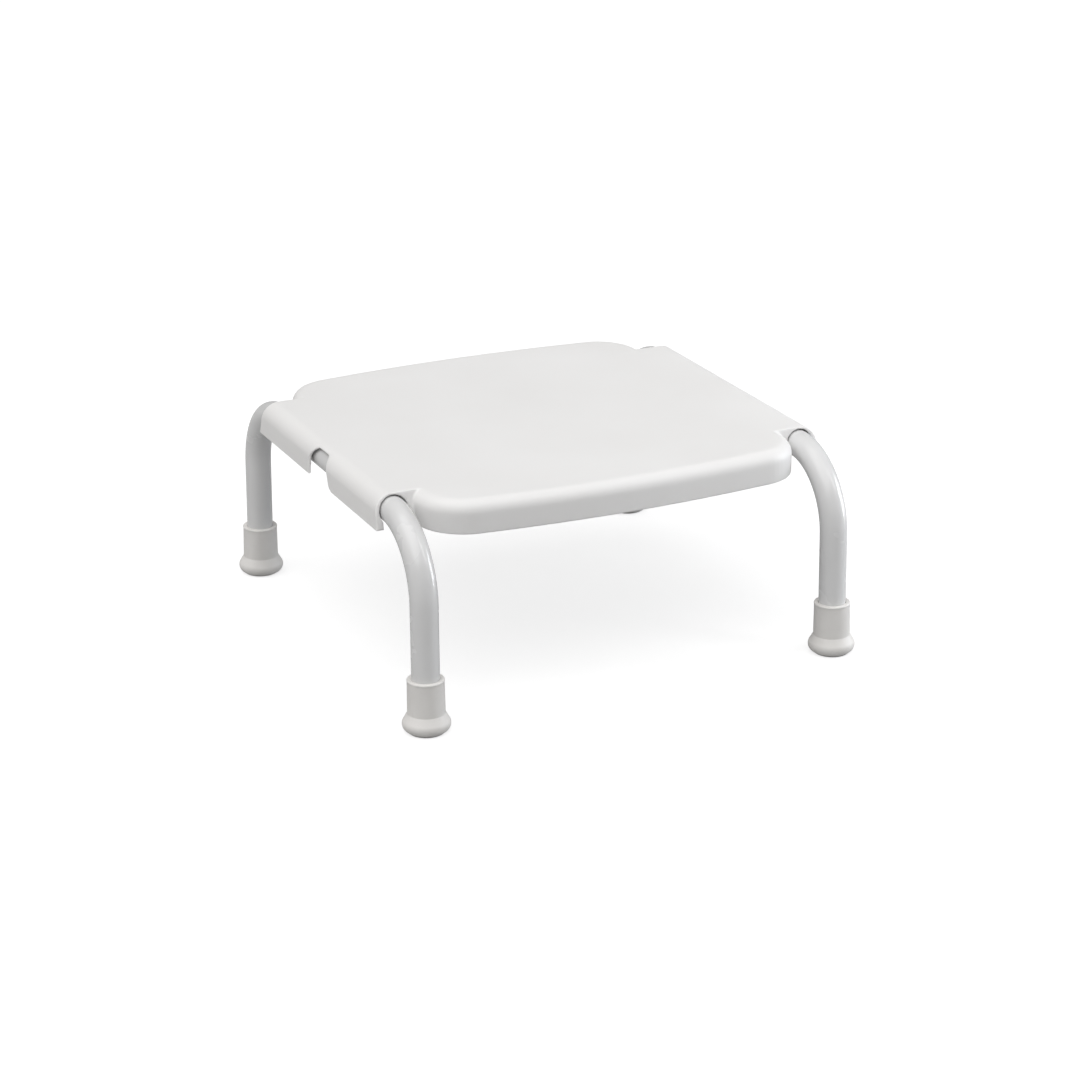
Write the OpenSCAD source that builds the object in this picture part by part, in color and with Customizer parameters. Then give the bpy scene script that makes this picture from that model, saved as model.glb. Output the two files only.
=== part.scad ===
// Shower stool: one moulded seat clipped and screwed onto two bent tube frames,
// each standing on two rubber ferrules. Millimetres, +Z up, +Y to the back.
// The origin is on the floor, midway between the four feet.

/* [Leg frames] */
// Outer diameter of the steel tube
tube_d = 25; // [24:0.5:25.5]
// Wall thickness of the steel tube
tube_wall = 1.5; // [1:0.25:2.5]
// Distance from the middle of the stool to each frame, at the seat
frame_x = 202.5; // [200:0.5:204]
// Height of the tube's centre line under the seat
tube_z = 181.5; // [160:0.5:240]
// Distance from the middle to each foot, front to back
foot_y = 209; // [206:1:240]
// Centre-line radius of the tube bends
bend_r = 67.5; // [62:0.5:75]
// Outward lean of each whole frame, side to side
frame_lean = 0.3; // [0:0.1:1]
// Outward lean of each leg, front to back
leg_splay = 1; // [0:0.1:2]

/* [Seat moulding] */
// Half-depth of the board, front to back
board_half_d = 201.5; // [190:0.5:205]
// Half-width of the board where it meets the side wings
board_half_w = 186; // [182:1:187]
// Plan radius of the board's four corners
corner_r = 46; // [30:1:50]
// Outward bow of the front and rear edges
edge_bow = 8; // [4:0.5:12]
// Radius of the board's top edge
top_edge_r = 12; // [8:0.5:13]
// Height of the board's skirt, edge radius included
skirt_h = 30; // [24:1:31]
// Thickness of the seat skin
skin = 3.5; // [3:0.25:4]
// Thickness of the board's skirt wall
wall = 3; // [2.5:0.25:3.5]

/* [Side wings] */
// Half-length of each wing along its top
wing_half = 140; // [132:1:142]
// Slant of a wing's two ends from vertical
end_slant = 14; // [0:1:16]
// Thickness of the wing's outer wall
wing_wall = 2.5; // [2:0.25:3]
// Radius of the crown that turns a wing's top into its outer wall
crown_r = 16.5; // [15:0.5:18]
// Width of the notch in each wing's outer wall, at its middle height
notch_w = 44; // [30:1:56]

/* [Ferrules] */
// Overall height of a ferrule
ferrule_h = 49; // [44:1:56]
// Radius of the ferrule's foot at its widest
foot_r = 21.6; // [20:0.2:24]
// Radius of the ferrule's collar
collar_r = 16.5; // [15.5:0.1:18]
// Thickness of rubber under the tube's end disc
sole_t = 7; // [6:0.5:9]

/* [Fixings] */
// Distance of the seat screws from the seat's middle, front and back
screw_y = 82; // [70:1:95]
// Shank diameter of the seat screws
screw_d = 4.8; // [4:0.2:5]

/* [Hidden] */
$fn = 96;
tube_r = tube_d / 2;
fit_gap = 0.1;
seat_z = tube_z + tube_r + 3.5;
board_z = seat_z - skirt_h;

// Leg geometry, in the plane of one frame
bend_angle = 90 - leg_splay;
leg_drop = tube_z / cos(frame_lean);
leg_len = (leg_drop - bend_r * (1 - cos(bend_angle))) / sin(bend_angle);
run_half = foot_y - bend_r * sin(bend_angle) - leg_len * cos(bend_angle);
bend_swell = 0.2;
bend_lap = 1;
disc_t = 1.5;
tube_end = sole_t + disc_t;

// Wing section, measured outwards from the middle of the stool
wing_x = frame_x + 17.7;
wing_z = tube_z - tube_r - 2;
wing_flare = 0.8;
crown_x = wing_x - crown_r;
crown_end = 8;
crown_steps = 14;
root_x = board_half_w - 14;

// Saddles that hold the tube
end_bore_r = tube_r + 1.3;
bend_gap = 0.6;
saddle_bore_r = tube_r + fit_gap;
mouth_half = 11.4;
end_saddle_t = 7;
saddle_t = 4;
screw_boss_r = 7;
far = 400;

// Rib grid under the board
rib_t = 2.2;
rib_rise = 3;
ribs_x = 7;
ribs_y = 8;

// Notch in the wing's outer wall
notch_mid = -5;
notch_mid_z = wing_z + 11;
notch_top_z = seat_z - 3.5;
notch_slant = 17;
notch_rear_r = 14;
notch_front_r = 9;
notch_foot_r = 8;

// Ferrule section
bulge_r = 7;
bulge_z = 7.6;
sole_r = 16.2;
neck_rise = 0.4;
neck_z = 17.5;
lip_r = 2.4;
lip_rise = 0.3;
groove_radii = [7, 10.5, 14];
groove_w = 1.6;
groove_depth = 1.4;

// Fixings
hole_r = screw_d / 2 + fit_gap;
head_r = 4.7;
head_h = 2.6;
pad_r = 7;
pad_t = 2;
head_z = tube_z - tube_r - pad_t;
screw_tip_z = seat_z - 1;

// Plan of the board: its corners lie a little inside its sides, so the sides draw in
// towards the corners, and each end is a shallow bow
corner_in = 2;
side_stop = 20;
bow_half = 140;
post_core = 0.1;

// ---------- places ----------

// Points of an arc in a plane
function arc(x, y, r, from, to, steps = 8) =
    [for (i = [0:steps]) let (a = from + (to - from) * i / steps) [x + r * cos(a), y + r * sin(a)]];

// Puts children on the axis of a leg, with the floor at their zero height
module on_leg(side, end) {
    translate([side * frame_x, 0, tube_z])
        rotate([0, -side * frame_lean, 0])
            translate([0, end * foot_y, -leg_drop])
                rotate([end * leg_splay, 0, 0])
                    children();
}

// Puts children on the axis of a seat screw, with the floor at their zero height
module on_screw(side, end) {
    translate([side * frame_x, end * screw_y, 0])
        children();
}

// Everything below the floor
module below_floor() {
    translate([-far, -far, -20])
        cube([2 * far, 2 * far, 20]);
}

// ---------- leg frames ----------

// One bend and one leg as a solid rod, for the end at +Y. The bend is a hair fuller
// than the straight tube, which runs a little way into it.
module bent_leg(r, foot_end) {
    translate([0, run_half, -bend_r])
        rotate([0, -90, 0]) {
            rotate_extrude(angle = bend_angle)
                translate([bend_r, 0])
                    circle(r = r + bend_swell);
            rotate([0, 0, bend_angle])
                translate([bend_r, -bend_lap, 0])
                    rotate([-90, 0, 0])
                        cylinder(r = r, h = leg_len - foot_end + bend_lap);
        }
}

// A whole frame as a solid rod in its own plane, with its straight run on the Y axis
module bent_rod(r, foot_end) {
    rotate([90, 0, 0])
        cylinder(r = r, h = 2 * (run_half + bend_lap), center = true);
    bent_leg(r, foot_end);
    mirror([0, 1, 0]) bent_leg(r, foot_end);
}

module place_frame(side) {
    translate([side * frame_x, 0, tube_z])
        rotate([0, -side * frame_lean, 0])
            children();
}

module leg_frame(side) {
    difference() {
        place_frame(side)
            difference() {
                bent_rod(tube_r, tube_end);
                bent_rod(tube_r - tube_wall, 0);
            }
        for (end = [-1, 1])
            on_screw(side, end)
                translate([0, 0, tube_z - 2 * tube_r])
                    cylinder(r = hole_r, h = 4 * tube_r);
    }
}

// ---------- seat ----------

// A round post with a rounded top edge, the building block of the board
module post(r, height, edge) {
    rotate_extrude($fn = 56)
        polygon(concat(
            [[0, 0], [r, 0]],
            arc(r - edge, height - edge, edge, 0, 90, 9),
            [[0, height]]
        ));
}

// The board's plan drawn in posts: four corners, two bowed edges and two sides
module board(inset, height, edge) {
    side_x = board_half_w - inset;
    corner_x = board_half_w - corner_r - corner_in;
    corner_y = board_half_d - edge_bow - corner_r;
    hull() {
        for (x = [-1, 1], y = [-1, 1]) {
            translate([x * corner_x, y * corner_y, 0])
                post(corner_r - inset, height, edge);
            translate([x * (side_x - edge - post_core), y * (wing_half - side_stop), 0])
                post(edge + post_core, height, edge);
        }
        for (t = [-0.75:0.25:0.75], y = [-1, 1])
            translate([t * bow_half, y * (board_half_d - edge_bow * t * t - inset - edge - post_core), 0])
                post(edge + post_core, height, edge);
    }
}

// The grid of ribs that stiffens the board
module rib_grid() {
    span_x = 2 * (board_half_w - wall);
    span_y = 2 * (board_half_d - wall);
    for (i = [1:ribs_x])
        translate([span_x * (i / (ribs_x + 1) - 0.5) - rib_t / 2, -far / 2, rib_rise])
            cube([rib_t, far, skirt_h]);
    for (i = [1:ribs_y])
        translate([-far / 2, span_y * (i / (ribs_y + 1) - 0.5) - rib_t / 2, rib_rise])
            cube([far, rib_t, skirt_h]);
}

module on_side(side) {
    if (side > 0) children();
    else mirror([1, 0, 0]) children();
}

// Extrudes a section drawn in X and Z from one Y to another
module along_y(from, to) {
    translate([0, to, 0])
        rotate([90, 0, 0])
            linear_extrude(to - from)
                children();
}

// Outer curve of a wing, from the flat top over the crown to the wall's lower edge
function wing_curve(inset) = concat(
    arc(crown_x, seat_z - crown_r, crown_r - inset, 90, crown_end, crown_steps),
    [[wing_x + wing_flare - inset, wing_z]]
);

// Section of a solid wing, seen from the front, for the side at +X
module wing_section() {
    polygon(concat(
        [[root_x, seat_z]],
        wing_curve(0),
        [[board_half_w - wall, wing_z], [board_half_w - wall, seat_z - skin], [root_x, seat_z - skin]]
    ));
}

// Section of the open channel inside a wing
module channel_section() {
    polygon(concat(
        [[board_half_w, seat_z - skin]],
        wing_curve(wing_wall),
        [[wing_x + wing_flare - wing_wall, wing_z - 1], [root_x, wing_z - 1],
         [root_x, board_z], [board_half_w, board_z]]
    ));
}

// The slanted ends of a wing: a long prism seen from the side
module wing_side_view() {
    low_half = wing_half + (seat_z - wing_z) * tan(end_slant);
    rotate([90, 0, 90])
        linear_extrude(far)
            polygon([
                [-low_half, wing_z],
                [low_half, wing_z],
                [wing_half, seat_z],
                [-wing_half, seat_z]
            ]);
}

// The notch through a wing's outer wall: upright behind, slanted in front, round above
module notch() {
    rear = notch_mid + notch_w / 2;
    front = notch_mid - notch_w / 2;
    low_y = front - (notch_mid_z - wing_z) * tan(notch_slant);
    high_y = front + (notch_top_z - notch_mid_z) * tan(notch_slant);
    foot_cut = notch_foot_r * tan((90 - notch_slant) / 2);
    translate([frame_x, 0, 0])
        rotate([90, 0, 90])
            linear_extrude(far)
                polygon(concat(
                    [[rear, wing_z - 1]],
                    arc(rear - notch_rear_r, notch_top_z - notch_rear_r, notch_rear_r, 0, 90),
                    arc(high_y + notch_front_r, notch_top_z - notch_front_r, notch_front_r,
                        90, 180 - notch_slant),
                    arc(low_y - foot_cut, wing_z + notch_foot_r, notch_foot_r, -notch_slant, -90),
                    [[low_y - foot_cut, wing_z - 1]]
                ));
}

// Room for the tube: snug in the saddles, loose at the wing ends, open below
module tube_room(side) {
    place_frame(side) {
        rotate([90, 0, 0])
            cylinder(r = saddle_bore_r, h = 2 * far, center = true);
        for (end = [-1, 1])
            translate([0, end * (far / 2 + wing_half - end_saddle_t), 0])
                rotate([90, 0, 0])
                    cylinder(r = end_bore_r, h = far, center = true);
        bent_leg(tube_r + bend_gap, 0);
        mirror([0, 1, 0]) bent_leg(tube_r + bend_gap, 0);
        translate([-mouth_half, -far, -2 * tube_r])
            cube([2 * mouth_half, 2 * far, 2 * tube_r]);
    }
}

// Channel stretches between the saddles, each as a pair of Y values
front_saddle = notch_mid - notch_w / 2 - 20;
rear_saddle = notch_mid + notch_w / 2 + 16;
channel_gaps = [
    [-wing_half + end_saddle_t, front_saddle - saddle_t],
    [front_saddle, rear_saddle],
    [rear_saddle + saddle_t, wing_half - end_saddle_t]
];

module wing(side) {
    difference() {
        union() {
            on_side(side)
                difference() {
                    intersection() {
                        along_y(-far, far) wing_section();
                        wing_side_view();
                    }
                    for (gap = channel_gaps)
                        along_y(gap[0], gap[1]) channel_section();
                }
            for (end = [-1, 1])
                on_screw(side, end)
                    translate([0, 0, tube_z])
                        cylinder(r = screw_boss_r, h = seat_z - skin + 1 - tube_z);
        }
        tube_room(side);
        on_side(side) notch();
        for (end = [-1, 1])
            on_screw(side, end)
                cylinder(r = hole_r, h = screw_tip_z);
    }
}

module seat() {
    color("white") {
        translate([0, 0, board_z])
            difference() {
                board(0, skirt_h, top_edge_r);
                difference() {
                    translate([0, 0, -1]) board(wall, skirt_h - skin + 1, top_edge_r - wall);
                    rib_grid();
                }
            }
        for (side = [-1, 1]) wing(side);
    }
}

// ---------- frames, ferrules and fixings ----------

module left_frame() {
    color("whitesmoke") leg_frame(-1);
}

module right_frame() {
    color("whitesmoke") leg_frame(1);
}

// A rubber ferrule: bulging foot, slim collar with a rolled lip, blind bore
module ferrule(side, end) {
    difference() {
        on_leg(side, end)
            difference() {
                rotate_extrude()
                    polygon(concat(
                        [[0, -1], [sole_r, -1]],
                        arc(foot_r - bulge_r, bulge_z, bulge_r, -60, 35, 12),
                        [[collar_r + neck_rise, neck_z]],
                        arc(collar_r + lip_rise - lip_r, ferrule_h - lip_r, lip_r, 0, 90, 6),
                        [[0, ferrule_h]]
                    ));
                translate([0, 0, sole_t])
                    cylinder(r = tube_r + fit_gap, h = ferrule_h);
                rotate_extrude()
                    for (r = groove_radii)
                        translate([r, -2]) square([groove_w, 2 + groove_depth]);
            }
        below_floor();
    }
}

// The steel disc in a ferrule that keeps the tube from cutting through the rubber
module end_disc(side, end) {
    on_leg(side, end)
        translate([0, 0, sole_t])
            difference() {
                cylinder(r = tube_r - fit_gap, h = disc_t);
                translate([0, 0, -1]) cylinder(r = 3, h = disc_t + 2);
            }
}

// A pan-head screw with a cross recess, driven up through the tube into the seat
module seat_screw(side, end) {
    on_screw(side, end)
        difference() {
            union() {
                translate([0, 0, head_z])
                    cylinder(r = screw_d / 2, h = screw_tip_z - 0.4 - head_z);
                translate([0, 0, head_z])
                    mirror([0, 0, 1])
                        rotate_extrude()
                            polygon(concat(
                                [[0, 0], [head_r, 0]],
                                arc(head_r - 1.8, head_h - 1.8, 1.8, 0, 90, 6),
                                [[0, head_h]]
                            ));
            }
            translate([0, 0, head_z - head_h + 0.75])
                for (turn = [0, 90])
                    rotate([0, 0, turn]) cube([5, 1, 1.6], center = true);
        }
}

// A curved nylon washer that gives the screw head a flat seat on the round tube
module saddle_washer(side, end) {
    on_screw(side, end)
        difference() {
            translate([0, 0, head_z]) cylinder(r = pad_r, h = pad_t + 1.6);
            translate([0, 0, tube_z])
                rotate([90, 0, 0])
                    cylinder(r = tube_r + fit_gap / 2, h = 4 * pad_r, center = true);
            translate([0, 0, head_z - 1]) cylinder(r = hole_r, h = 10);
        }
}

module front_left_ferrule() { color("gainsboro") ferrule(-1, -1); }
module front_right_ferrule() { color("gainsboro") ferrule(1, -1); }
module rear_left_ferrule() { color("gainsboro") ferrule(-1, 1); }
module rear_right_ferrule() { color("gainsboro") ferrule(1, 1); }

module front_left_end_disc() { color("silver") end_disc(-1, -1); }
module front_right_end_disc() { color("silver") end_disc(1, -1); }
module rear_left_end_disc() { color("silver") end_disc(-1, 1); }
module rear_right_end_disc() { color("silver") end_disc(1, 1); }

module front_left_screw() { color("silver") seat_screw(-1, -1); }
module front_right_screw() { color("silver") seat_screw(1, -1); }
module rear_left_screw() { color("silver") seat_screw(-1, 1); }
module rear_right_screw() { color("silver") seat_screw(1, 1); }

module front_left_saddle_washer() { color("ivory") saddle_washer(-1, -1); }
module front_right_saddle_washer() { color("ivory") saddle_washer(1, -1); }
module rear_left_saddle_washer() { color("ivory") saddle_washer(-1, 1); }
module rear_right_saddle_washer() { color("ivory") saddle_washer(1, 1); }

seat();
left_frame();
right_frame();
front_left_ferrule();
front_right_ferrule();
rear_left_ferrule();
rear_right_ferrule();
front_left_end_disc();
front_right_end_disc();
rear_left_end_disc();
rear_right_end_disc();
front_left_screw();
front_right_screw();
rear_left_screw();
rear_right_screw();
front_left_saddle_washer();
front_right_saddle_washer();
rear_left_saddle_washer();
rear_right_saddle_washer();
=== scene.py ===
"""Looks for the shower stool: a moulded seat on two bent, enamelled tube frames with
rubber ferrules. Metres, +Z up, +Y to the back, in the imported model's own frame."""
import math

import bmesh
import bpy
from mathutils import Matrix, Vector


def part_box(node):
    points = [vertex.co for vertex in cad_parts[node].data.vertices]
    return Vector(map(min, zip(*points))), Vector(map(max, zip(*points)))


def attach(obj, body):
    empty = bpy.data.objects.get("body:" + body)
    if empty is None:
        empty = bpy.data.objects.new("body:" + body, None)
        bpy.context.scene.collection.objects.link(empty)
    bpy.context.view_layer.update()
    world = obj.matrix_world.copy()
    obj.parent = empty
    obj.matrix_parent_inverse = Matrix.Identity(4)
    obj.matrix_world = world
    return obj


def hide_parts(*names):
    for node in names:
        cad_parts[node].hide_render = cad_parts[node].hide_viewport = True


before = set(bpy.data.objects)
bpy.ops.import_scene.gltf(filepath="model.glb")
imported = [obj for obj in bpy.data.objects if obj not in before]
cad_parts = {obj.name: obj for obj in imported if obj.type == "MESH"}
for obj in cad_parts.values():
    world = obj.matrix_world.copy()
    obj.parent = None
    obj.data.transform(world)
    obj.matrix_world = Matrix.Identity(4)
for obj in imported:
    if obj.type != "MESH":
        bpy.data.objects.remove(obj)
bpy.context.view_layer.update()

SIDES = {"left": -1, "right": 1}
ENDS = {"front": -1, "rear": 1}

# ---------- the frames' sizes, as the CAD has them ----------

TUBE_R = 0.0125
TUBE_WALL = 0.0015
TUBE_Z = 0.1815
FRAME_X = 0.2025
FOOT_Y = 0.209
BEND_R = 0.0675
LEAN = math.radians(0.3)
SPLAY = math.radians(1)
TUBE_END = 0.0085
FIT_GAP = 0.0001

BEND_ANGLE = math.pi / 2 - SPLAY
LEG_DROP = TUBE_Z / math.cos(LEAN)
LEG_LEN = (LEG_DROP - BEND_R * (1 - math.cos(BEND_ANGLE))) / math.sin(BEND_ANGLE)
RUN_HALF = FOOT_Y - BEND_R * math.sin(BEND_ANGLE) - LEG_LEN * math.cos(BEND_ANGLE)


# ---------- mesh helpers ----------

def new_piece(name, mesh):
    piece = bpy.data.objects.new(name, mesh)
    bpy.context.scene.collection.objects.link(piece)
    return piece


def smooth(mesh, sharp_degrees):
    """Shades a mesh smooth, except across edges sharper than this."""
    mesh.shade_smooth()
    mesh.set_sharp_from_angle(angle=math.radians(sharp_degrees))


def piece_from_bmesh(name, bm, sharp_degrees):
    bmesh.ops.recalc_face_normals(bm, faces=bm.faces)
    mesh = bpy.data.meshes.new(name)
    bm.to_mesh(mesh)
    bm.free()
    smooth(mesh, sharp_degrees)
    return new_piece(name, mesh)


def bake_modifiers(piece):
    """Applies the piece's modifiers to its mesh."""
    bpy.context.view_layer.update()
    graph = bpy.context.evaluated_depsgraph_get()
    mesh = bpy.data.meshes.new_from_object(piece.evaluated_get(graph))
    piece.modifiers.clear()
    piece.data = mesh


def arc(cx, cz, r, start, end, steps):
    """Points of an arc, in degrees, from one end to the other."""
    angles = [math.radians(start + (end - start) * i / steps) for i in range(steps + 1)]
    return [(cx + r * math.cos(a), cz + r * math.sin(a)) for a in angles]


AXIS_R = 1e-7


def lathe(profile, segments):
    """Revolves an open profile of (radius, height), both ends of it on the axis."""
    bm = bmesh.new()
    rings = []
    for r, z in profile:
        if r < AXIS_R:
            rings.append([bm.verts.new((0, 0, z))])
            continue
        turns = [2 * math.pi * i / segments for i in range(segments)]
        rings.append([bm.verts.new((r * math.cos(t), r * math.sin(t), z)) for t in turns])
    for low, high in zip(rings, rings[1:]):
        for i in range(segments):
            j = (i + 1) % segments
            corners = [low[i % len(low)], low[j % len(low)],
                       high[j % len(high)], high[i % len(high)]]
            face = list(dict.fromkeys(corners))
            if len(face) > 2:
                bm.faces.new(face)
    return bm


def cut(piece, cutter_bm):
    """Takes a closed mesh away from a piece."""
    mesh = bpy.data.meshes.new("cutter")
    bmesh.ops.recalc_face_normals(cutter_bm, faces=cutter_bm.faces)
    cutter_bm.to_mesh(mesh)
    cutter_bm.free()
    cutter = new_piece("cutter", mesh)
    step = piece.modifiers.new("cut", "BOOLEAN")
    step.operation = "DIFFERENCE"
    step.solver = "EXACT"
    step.object = cutter
    bake_modifiers(piece)
    bpy.data.objects.remove(cutter)


def make(piece, node, material):
    """Gives a piece its finish and puts it in its CAD node's place."""
    piece.data.materials.clear()
    piece.data.materials.append(material)
    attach(piece, "root")
    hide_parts(node)


# ---------- materials ----------

class Shader:
    """A principled material with its object coordinates, and short ways to add to it."""

    def __init__(self, name):
        self.material = bpy.data.materials.new(name)
        self.material.use_nodes = True
        self.tree = self.material.node_tree
        self.nodes = self.tree.nodes
        self.surface = self.nodes["Principled BSDF"]
        self.coords = self.nodes.new("ShaderNodeTexCoord").outputs["Object"]

    def link(self, source, target):
        self.tree.links.new(source, target)

    def noise(self, scale, detail=3.0, roughness=0.5, stretch=(1, 1, 1), turn=(0, 0, 0)):
        place = self.nodes.new("ShaderNodeMapping")
        place.inputs["Scale"].default_value = stretch
        place.inputs["Rotation"].default_value = turn
        self.link(self.coords, place.inputs["Vector"])
        noise = self.nodes.new("ShaderNodeTexNoise")
        noise.inputs["Scale"].default_value = scale
        noise.inputs["Detail"].default_value = detail
        noise.inputs["Roughness"].default_value = roughness
        self.link(place.outputs["Vector"], noise.inputs["Vector"])
        return noise.outputs["Fac"]

    def spread(self, value, low, high, to_low, to_high):
        part = self.nodes.new("ShaderNodeMapRange")
        part.inputs["From Min"].default_value = low
        part.inputs["From Max"].default_value = high
        part.inputs["To Min"].default_value = to_low
        part.inputs["To Max"].default_value = to_high
        self.link(value, part.inputs["Value"])
        return part.outputs["Result"]

    def mix(self, factor, first, second):
        """A colour between two, each a colour or another node's output."""
        node = self.nodes.new("ShaderNodeMix")
        node.data_type = "RGBA"
        self.link(factor, node.inputs["Factor"])
        for value, socket in ((first, node.inputs["A"]), (second, node.inputs["B"])):
            if isinstance(value, tuple):
                socket.default_value = (*value, 1)
            else:
                self.link(value, socket)
        return node.outputs["Result"]

    def maths(self, operation, first, second):
        node = self.nodes.new("ShaderNodeMath")
        node.operation = operation
        for value, socket in ((first, node.inputs[0]), (second, node.inputs[1])):
            if isinstance(value, float):
                socket.default_value = value
            else:
                self.link(value, socket)
        return node.outputs["Value"]

    def bump(self, height, distance, strength=1.0, under=None):
        node = self.nodes.new("ShaderNodeBump")
        node.inputs["Distance"].default_value = distance
        node.inputs["Strength"].default_value = strength
        self.link(height, node.inputs["Height"])
        if under is not None:
            self.link(under, node.inputs["Normal"])
        return node.outputs["Normal"]

    def edges(self, low, high):
        """0 on flat surfaces and 1 on sharp outer edges."""
        geometry = self.nodes.new("ShaderNodeNewGeometry")
        return self.spread(geometry.outputs["Pointiness"], low, high, 0, 1)


def seat_plastic():
    s = Shader("seat_plastic")
    clouds = s.noise(9, 4)
    grain = s.noise(1500, 2)
    flow = s.noise(60, 3, stretch=(1, 0.25, 1))
    scuffs = s.noise(420, 4, 0.6, stretch=(0.08, 1.6, 1), turn=(0, 0, 0.5))
    colour = s.mix(s.spread(clouds, 0.35, 0.65, 0, 1), (0.838, 0.830, 0.822), (0.850, 0.844, 0.838))
    # Sharp outer edges are painted lighter than the rest of the seat: a painted edge highlight.
    painted_edge_highlight = s.mix(s.edges(0.52, 0.60), colour, (0.875, 0.868, 0.858))
    s.link(painted_edge_highlight, s.surface.inputs["Base Color"])
    base = s.spread(clouds, 0.3, 0.7, 0.42, 0.49)
    worn = s.spread(scuffs, 0.62, 0.74, 0, 0.10)
    s.link(s.maths("ADD", base, worn), s.surface.inputs["Roughness"])
    skin = s.bump(grain, 0.00004, 0.5)
    s.link(s.bump(flow, 0.00008, 0.5, under=skin), s.surface.inputs["Normal"])
    s.surface.inputs["IOR"].default_value = 1.49
    return s.material


def enamelled_tube():
    s = Shader("enamelled_tube")
    peel = s.noise(650, 2, 0.4)
    clouds = s.noise(22, 3)
    specks = s.noise(2600, 1)
    colour = s.mix(s.spread(clouds, 0.35, 0.65, 0, 1), (0.715, 0.714, 0.714), (0.740, 0.740, 0.740))
    s.link(s.mix(s.spread(specks, 0.70, 0.78, 0, 0.35), colour, (0.62, 0.60, 0.57)),
           s.surface.inputs["Base Color"])
    s.link(s.spread(clouds, 0.3, 0.7, 0.20, 0.29), s.surface.inputs["Roughness"])
    s.link(s.bump(peel, 0.00002, 0.35), s.surface.inputs["Normal"])
    s.surface.inputs["IOR"].default_value = 1.52
    s.surface.inputs["Coat Weight"].default_value = 0.25
    s.surface.inputs["Coat Roughness"].default_value = 0.12
    return s.material


def ferrule_rubber():
    s = Shader("ferrule_rubber")
    grain = s.noise(1300, 3, 0.6)
    clouds = s.noise(38, 4)
    dust = s.noise(170, 4, 0.65)
    colour = s.mix(s.spread(clouds, 0.3, 0.7, 0, 1), (0.745, 0.728, 0.705), (0.79, 0.775, 0.755))
    s.link(s.mix(s.spread(dust, 0.6, 0.75, 0, 0.30), colour, (0.66, 0.64, 0.61)),
           s.surface.inputs["Base Color"])
    s.link(s.spread(dust, 0.3, 0.7, 0.50, 0.62), s.surface.inputs["Roughness"])
    s.link(s.bump(grain, 0.00007, 0.6), s.surface.inputs["Normal"])
    s.surface.inputs["IOR"].default_value = 1.5
    return s.material


def steel(name, turned, colour):
    """Bright steel with fine turning or rolling marks and a little dulling."""
    s = Shader(name)
    marks = s.noise(900, 3, 0.6, stretch=turned)
    clouds = s.noise(120, 3)
    dull = tuple(0.8 * c for c in colour)
    s.link(s.mix(s.spread(clouds, 0.35, 0.65, 0, 1), colour, dull), s.surface.inputs["Base Color"])
    s.link(s.spread(marks, 0.3, 0.7, 0.24, 0.42), s.surface.inputs["Roughness"])
    s.link(s.bump(marks, 0.00002, 0.5), s.surface.inputs["Normal"])
    s.surface.inputs["Metallic"].default_value = 1.0
    return s.material


def washer_nylon():
    s = Shader("washer_nylon")
    clouds = s.noise(150, 3)
    grain = s.noise(1900, 2)
    s.link(s.mix(s.spread(clouds, 0.3, 0.7, 0, 1), (0.72, 0.69, 0.62), (0.78, 0.76, 0.70)),
           s.surface.inputs["Base Color"])
    s.link(s.spread(clouds, 0.3, 0.7, 0.42, 0.54), s.surface.inputs["Roughness"])
    s.link(s.bump(grain, 0.00004, 0.5), s.surface.inputs["Normal"])
    return s.material


# ---------- the seat ----------

WELD_REACH = 0.000002
VOXEL = 0.0010
SOFTEN_ROUNDS = 3
KEPT_SHARE = 0.16


def seat_piece():
    """The moulded seat, its CAD shape with every edge rounded as a mould leaves it."""
    piece = new_piece("moulded_seat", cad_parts["seat"].data.copy())
    weld = piece.modifiers.new("weld", "WELD")
    weld.merge_threshold = WELD_REACH
    voxels = piece.modifiers.new("voxels", "REMESH")
    voxels.mode = "VOXEL"
    voxels.voxel_size = VOXEL
    voxels.use_smooth_shade = True
    soften = piece.modifiers.new("soften", "SMOOTH")
    soften.factor = 0.5
    soften.iterations = SOFTEN_ROUNDS
    thin = piece.modifiers.new("thin", "DECIMATE")
    thin.ratio = KEPT_SHARE
    bake_modifiers(piece)
    piece.data.shade_smooth()
    return piece


# ---------- the tube frames ----------

BEND_RINGS = 36
TUBE_SEGMENTS = 64
TUBE_LIP = 0.0003
TUBE_SHARP = 40
HOLE_R = 0.0025
HOLE_SEGMENTS = 32


def frame_plane_path():
    """(y, z, tangent angle) along a frame, from the rear leg's end to the front leg's."""
    half = [(0.0, 0.0, 0.0), (RUN_HALF, 0.0, 0.0)]
    for i in range(1, BEND_RINGS + 1):
        a = BEND_ANGLE * i / BEND_RINGS
        half.append((RUN_HALF + BEND_R * math.sin(a), -BEND_R * (1 - math.cos(a)), a))
    y, z, a = half[-1]
    run = LEG_LEN - TUBE_END
    half.append((y + run * math.cos(a), z - run * math.sin(a), a))
    mirrored = [(-y, z, -a) for y, z, a in half[1:]]
    return half[::-1] + mirrored


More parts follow.
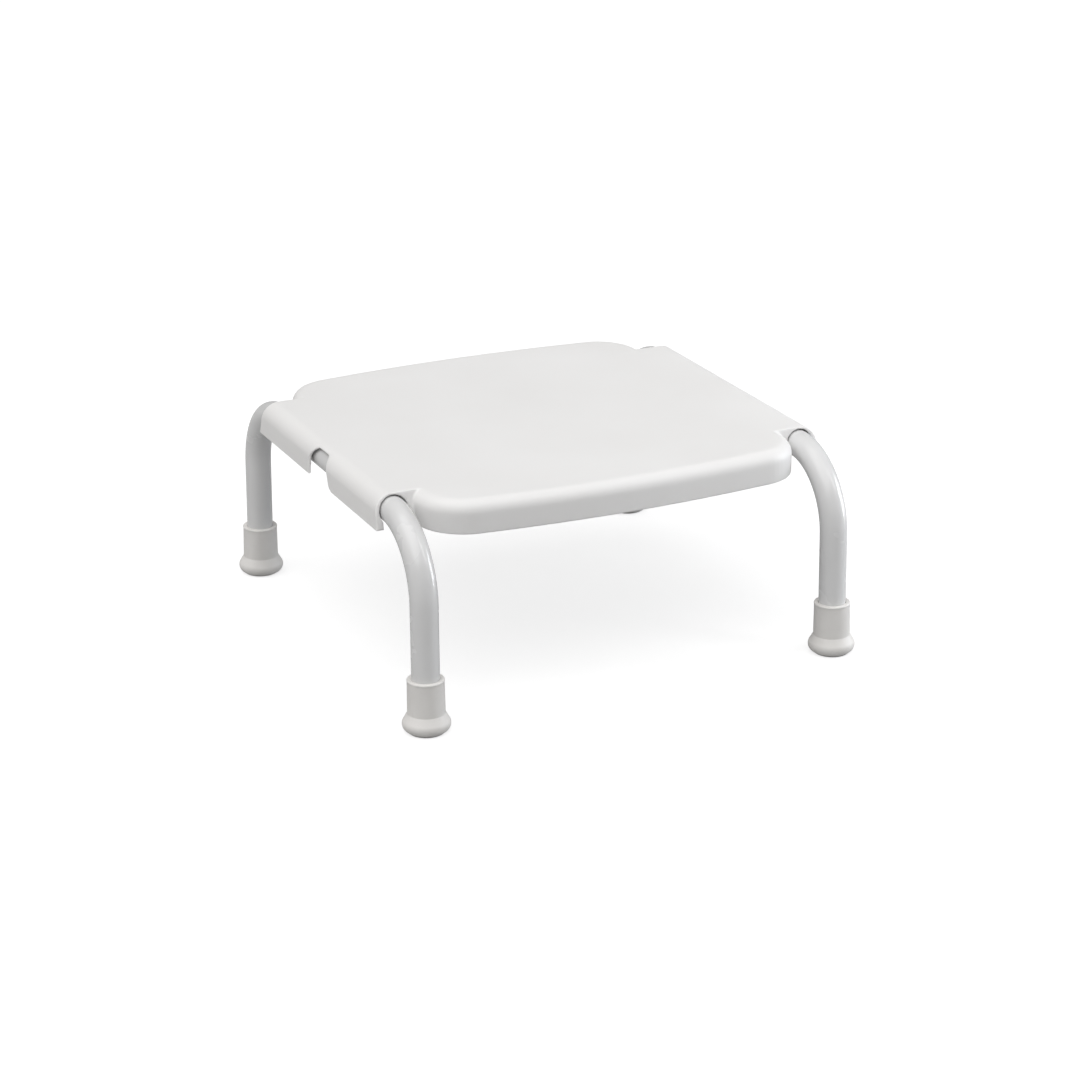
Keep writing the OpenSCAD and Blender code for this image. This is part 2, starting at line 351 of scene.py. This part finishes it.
def tube_piece(side_name):
    """One frame: a hollow tube swept along its legs, bends and run, with screw holes."""
    side = SIDES[side_name]
    place = (Matrix.Translation((side * FRAME_X, 0, TUBE_Z))
             @ Matrix.Rotation(-side * LEAN, 4, "Y"))
    path = frame_plane_path()
    bm = bmesh.new()

    def ring(index, radius, back=0.0):
        """A ring of points round the path, drawn back a little from the tube's end."""
        y, z, a = path[index]
        outwards = 1 if index == 0 else -1
        along = Vector((0, math.cos(a), -math.sin(a)))
        across = Vector((0, math.sin(a), math.cos(a)))
        centre = Vector((0, y, z)) - along * back * outwards
        turns = [2 * math.pi * i / TUBE_SEGMENTS for i in range(TUBE_SEGMENTS)]
        return [bm.verts.new(place @ (centre + radius * (Vector((math.cos(t), 0, 0))
                                                         + math.sin(t) * across)))
                for t in turns]

    last = len(path) - 1
    inner_r = TUBE_R - TUBE_WALL
    rings = [ring(0, TUBE_R - TUBE_LIP), ring(0, TUBE_R, TUBE_LIP)]
    rings += [ring(i, TUBE_R) for i in range(1, last)]
    rings += [ring(last, TUBE_R, TUBE_LIP), ring(last, TUBE_R - TUBE_LIP)]
    rings += [ring(last, inner_r)]
    rings += [ring(i, inner_r) for i in range(last - 1, 0, -1)]
    rings += [ring(0, inner_r)]
    for near, far in zip(rings, rings[1:] + rings[:1]):
        for i in range(TUBE_SEGMENTS):
            j = (i + 1) % TUBE_SEGMENTS
            bm.faces.new((near[i], near[j], far[j], far[i]))
    piece = piece_from_bmesh(side_name + "_tube", bm, TUBE_SHARP)
    for end_name in ENDS:
        low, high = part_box(f"{end_name}_{side_name}_screw")
        hole = lathe([(0, TUBE_Z - 2 * TUBE_R), (HOLE_R, TUBE_Z - 2 * TUBE_R),
                      (HOLE_R, TUBE_Z + 2 * TUBE_R), (0, TUBE_Z + 2 * TUBE_R)],
                     HOLE_SEGMENTS)
        middle = (low + high) / 2
        bmesh.ops.translate(hole, verts=hole.verts, vec=(middle.x, middle.y, 0))
        cut(piece, hole)
    smooth(piece.data, TUBE_SHARP)
    return piece


def leg_place(side_name, end_name):
    """Where a leg's own axis stands, with the floor at its zero height."""
    side, end = SIDES[side_name], ENDS[end_name]
    return (Matrix.Translation((side * FRAME_X, 0, TUBE_Z))
            @ Matrix.Rotation(-side * LEAN, 4, "Y")
            @ Matrix.Translation((0, end * FOOT_Y, -LEG_DROP))
            @ Matrix.Rotation(end * SPLAY, 4, "X"))


# ---------- ferrules ----------

FERRULE_H = 0.049
FOOT_R = 0.0216
BULGE_R = 0.007
BULGE_Z = 0.0076
SOLE_R = 0.0162
SOLE_T = 0.007
LIP_R = 0.0013
COLLAR_TOP_R = 0.0165
COLLAR_FOOT_R = 0.0169
NECK_Z = 0.0178
NECK_R = 0.0009
GROOVES = (0.0070, 0.0105, 0.0140)
GROOVE_W = 0.0016
GROOVE_DEPTH = 0.0014
BELOW = -0.0008
BEAD_RISE = 0.0003
BEAD_STEP = 0.0004
MOUTH_R = 0.0006
FERRULE_SEGMENTS = 96
FERRULE_SHARP = 50


def ferrule_profile():
    """Radius and height along a ferrule: sole and its grooves, foot, collar, lip, bore."""
    points = [(0, BELOW)]
    for r in GROOVES:
        points += [(r, BELOW), (r, GROOVE_DEPTH), (r + GROOVE_W, GROOVE_DEPTH),
                   (r + GROOVE_W, BELOW)]
    points += [(SOLE_R, BELOW)]
    points += arc(FOOT_R - BULGE_R, BULGE_Z, BULGE_R, -58, 36, 20)
    points += arc(COLLAR_FOOT_R + NECK_R, NECK_Z, NECK_R, 210, 180, 4)
    bead_z = FERRULE_H - 2 * LIP_R
    bead_r = COLLAR_TOP_R + BEAD_RISE
    points += [(COLLAR_TOP_R, bead_z - BEAD_STEP), (COLLAR_TOP_R, bead_z)]
    points += arc(bead_r - LIP_R, FERRULE_H - LIP_R, LIP_R, -25, 90, 12)
    bore = TUBE_R + FIT_GAP
    points += arc(bore + MOUTH_R, FERRULE_H - MOUTH_R, MOUTH_R, 90, 180, 4)
    points += [(bore, SOLE_T), (0, SOLE_T)]
    return points


def ferrule_piece(side_name, end_name):
    """A ferrule on its leg's axis, its sole cut flat by the floor."""
    bm = lathe(ferrule_profile(), FERRULE_SEGMENTS)
    bmesh.ops.transform(bm, matrix=leg_place(side_name, end_name), verts=bm.verts)
    for vert in bm.verts:
        vert.co.z = max(vert.co.z, 0)
    return piece_from_bmesh(f"{end_name}_{side_name}_ferrule_rubber", bm, FERRULE_SHARP)


# ---------- screws ----------

SHANK_R = 0.0024
CORE_R = 0.00175
HEAD_R = 0.0047
HEAD_H = 0.0026
HEAD_EDGE_R = 0.0018
HEAD_LIP = 0.0002
THREAD_PITCH = 0.0018
THREAD_START = 0.0012
THREAD_STEPS = 32
THREAD_HALF = 0.00045
CREST_HALF = 0.00006
ROOT_SINK = 0.0001
TIP_H = 0.0022
TIP_R = 0.0004
SCREW_SEGMENTS = 48
SCREW_SHARP = 35
SLOT_SIZE = (0.005, 0.001, 0.0022)
SLOT_RISE = 0.0005
SLOT_TAPER = 0.45


def screw_piece(side_name, end_name):
    """A pan-head screw, head down, with a cross recess and a thread up to its tapered tip."""
    node = f"{end_name}_{side_name}_screw"
    low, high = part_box(node)
    middle = (low + high) / 2
    under = low.z + HEAD_H
    head = [(0, low.z)]
    head += [(r, low.z + HEAD_H - z) for r, z in
             arc(HEAD_R - HEAD_EDGE_R, HEAD_H - HEAD_EDGE_R, HEAD_EDGE_R, 90, 0, 10)]
    head += [(HEAD_R, under - HEAD_LIP), (HEAD_R - HEAD_LIP, under), (CORE_R, under)]
    tip = high.z - TIP_H
    turns = int((tip - under - THREAD_START) / THREAD_PITCH)
    bm = lathe(head + [(CORE_R, tip), (TIP_R, high.z), (0, high.z)], SCREW_SEGMENTS)
    start = under + THREAD_START
    last = turns * THREAD_STEPS
    previous = None
    for i in range(last + 1):
        t = 2 * math.pi * i / THREAD_STEPS
        z = start + THREAD_PITCH * i / THREAD_STEPS
        fade = min(1.0, i / THREAD_STEPS, (last - i) / THREAD_STEPS)
        crest = CORE_R + (SHANK_R - CORE_R) * fade
        way = Vector((math.cos(t), math.sin(t), 0))
        section = [bm.verts.new(way * r + Vector((0, 0, z + rise)))
                   for r, rise in ((CORE_R - ROOT_SINK, -THREAD_HALF), (crest, -CREST_HALF),
                                   (crest, CREST_HALF), (CORE_R - ROOT_SINK, THREAD_HALF))]
        if previous:
            for k in range(4):
                m = (k + 1) % 4
                bm.faces.new((previous[k], previous[m], section[m], section[k]))
        else:
            bm.faces.new(section)
        previous = section
    bm.faces.new(previous[::-1])
    bmesh.ops.translate(bm, verts=bm.verts, vec=(middle.x, middle.y, 0))
    piece = piece_from_bmesh(node + "_steel", bm, SCREW_SHARP)
    for turn in (0, math.pi / 2):
        slot_bm = bmesh.new()
        place = (Matrix.Translation((middle.x, middle.y, low.z + SLOT_RISE))
                 @ Matrix.Rotation(turn, 4, "Z")
                 @ Matrix.Diagonal((*SLOT_SIZE, 1)))
        bmesh.ops.create_cube(slot_bm, size=1, matrix=place)
        for vert in slot_bm.verts:
            if vert.co.z > low.z:
                reach = Vector((vert.co.x - middle.x, vert.co.y - middle.y, 0))
                vert.co -= reach * SLOT_TAPER
        cut(piece, slot_bm)
    smooth(piece.data, SCREW_SHARP)
    return piece


# ---------- building ----------

PLASTIC = seat_plastic()
ENAMEL = enamelled_tube()
RUBBER = ferrule_rubber()
SCREW_STEEL = steel("screw_steel", (1, 1, 0.1), (0.62, 0.62, 0.63))
DISC_STEEL = steel("disc_steel", (1, 0.1, 1), (0.60, 0.61, 0.60))
NYLON = washer_nylon()

make(seat_piece(), "seat", PLASTIC)
for side_name in SIDES:
    make(tube_piece(side_name), side_name + "_frame", ENAMEL)
    for end_name in ENDS:
        corner = f"{end_name}_{side_name}"
        make(ferrule_piece(side_name, end_name), corner + "_ferrule", RUBBER)
        make(screw_piece(side_name, end_name), corner + "_screw", SCREW_STEEL)
        for node, material in ((corner + "_end_disc", DISC_STEEL),
                               (corner + "_saddle_washer", NYLON)):
            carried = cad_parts[node]
            carried.data.materials.clear()
            carried.data.materials.append(material)

# ---------- floor, light and camera ----------

FLOOR_HALF = 30
FLOOR_DROP = 0.0002
FLOOR_SEEN = (0.35, 0.35, 0.35)
FLOOR_BOUNCE = (0.45, 0.45, 0.45)
FLOOR_GLOW = 0.76


def flat_sheet(name, half):
    bm = bmesh.new()
    bmesh.ops.create_grid(bm, x_segments=8, y_segments=8, size=half)
    mesh = bpy.data.meshes.new(name)
    bm.to_mesh(mesh)
    bm.free()
    return new_piece(name, mesh)


floor = flat_sheet("studio_floor", FLOOR_HALF)
floor.location.z = -FLOOR_DROP
# The floor looks white, yet throws only a soft light back up under the seat.
paper = Shader("studio_paper")
seen = paper.nodes.new("ShaderNodeLightPath").outputs["Is Camera Ray"]
paper.link(paper.mix(seen, FLOOR_BOUNCE, FLOOR_SEEN), paper.surface.inputs["Base Color"])
paper.surface.inputs["Emission Color"].default_value = (1, 1, 1, 1)
paper.link(paper.maths("MULTIPLY", seen, FLOOR_GLOW), paper.surface.inputs["Emission Strength"])
paper.surface.inputs["Roughness"].default_value = 0.9
paper.surface.inputs["Specular IOR Level"].default_value = 0.1
floor.data.materials.append(paper.material)


STOOL_MIDDLE = (0, 0, 0.12)
WHITE = (1, 1, 1)
COOL_WHITE = (0.93, 0.96, 1.0)
WARM_WHITE = (1.0, 0.97, 0.95)


def area_light(name, place, size, power, colour):
    """A soft box that faces the middle of the stool."""
    data = bpy.data.lights.new(name, "AREA")
    data.shape = "RECTANGLE"
    data.size, data.size_y = size
    data.energy = power
    data.color = colour
    lamp = bpy.data.objects.new(name, data)
    bpy.context.scene.collection.objects.link(lamp)
    lamp.location = place
    to_stool = Vector(STOOL_MIDDLE) - Vector(place)
    lamp.rotation_euler = to_stool.to_track_quat("-Z", "Y").to_euler()


def sun_light(name, direction, strength, degrees):
    """A wide overhead glow: a sun with a very large disc."""
    data = bpy.data.lights.new(name, "SUN")
    data.energy = strength
    data.angle = math.radians(degrees)
    lamp = bpy.data.objects.new(name, data)
    bpy.context.scene.collection.objects.link(lamp)
    lamp.rotation_euler = Vector(direction).to_track_quat("-Z", "Y").to_euler()


sun_light("overhead", (0.30, 0.22, -1.0), 1.94, 70)
area_light("right_strip", (1.3, -1.2, 1.9), (0.25, 1.3), 7, WHITE)
area_light("left_strip", (-1.1, -1.0, 2.2), (0.3, 1.3), 2.2, WHITE)
area_light("right_panel", (1.7, -0.42, 0.42), (0.7, 0.8), 15, COOL_WHITE)
area_light("left_panel", (-1.66, 0.23, 0.7), (1.3, 1.0), 2, WARM_WHITE)

# The air is brightest overhead and towards the left, and fades below the floor.
BRIGHT_SIDE = (-0.32, 0.06, 0.92)
AIR_DIM = 0.02
AIR_BRIGHT = 0.42
FADE_FROM = -0.2
FADE_TO = 1.0

world = bpy.data.worlds.new("studio_air")
bpy.context.scene.world = world
world.use_nodes = True
air = world.node_tree.nodes["Background"]
sky = world.node_tree.nodes.new("ShaderNodeTexCoord")
tilt = world.node_tree.nodes.new("ShaderNodeVectorMath")
tilt.operation = "DOT_PRODUCT"
tilt.inputs[1].default_value = BRIGHT_SIDE
world.node_tree.links.new(sky.outputs["Generated"], tilt.inputs[0])
fall = world.node_tree.nodes.new("ShaderNodeMapRange")
fall.inputs["From Min"].default_value = FADE_FROM
fall.inputs["From Max"].default_value = FADE_TO
fall.inputs["To Min"].default_value = AIR_DIM
fall.inputs["To Max"].default_value = AIR_BRIGHT
world.node_tree.links.new(tilt.outputs["Value"], fall.inputs["Value"])
world.node_tree.links.new(fall.outputs["Result"], air.inputs["Strength"])
air.inputs["Color"].default_value = (1.0, 0.995, 0.985, 1)

bpy.context.scene.view_settings.view_transform = "Standard"

AZIMUTH = math.radians(-25.12)
ELEVATION = math.radians(21.09)
ROLL = math.radians(-0.21)
DISTANCE = 2.73309
AIM = Vector((-0.00218, -0.01346, 0.07599))
SENSOR_WIDTH = 36
FOCAL_LENGTH = 96.31

back = Vector((math.sin(AZIMUTH) * math.cos(ELEVATION),
               -math.cos(AZIMUTH) * math.cos(ELEVATION), math.sin(ELEVATION)))
right = Vector((math.cos(AZIMUTH), math.sin(AZIMUTH), 0))
up = back.cross(right)
rolled_right = right * math.cos(ROLL) + up * math.sin(ROLL)
rolled_up = up * math.cos(ROLL) - right * math.sin(ROLL)
camera_data = bpy.data.cameras.new("camera")
camera_data.sensor_width = SENSOR_WIDTH
camera_data.lens = FOCAL_LENGTH
camera = bpy.data.objects.new("camera", camera_data)
bpy.context.scene.collection.objects.link(camera)
camera.matrix_world = (Matrix.Translation(AIM + back * DISTANCE)
                       @ Matrix((rolled_right, rolled_up, back)).transposed().to_4x4())
bpy.context.scene.camera = camera
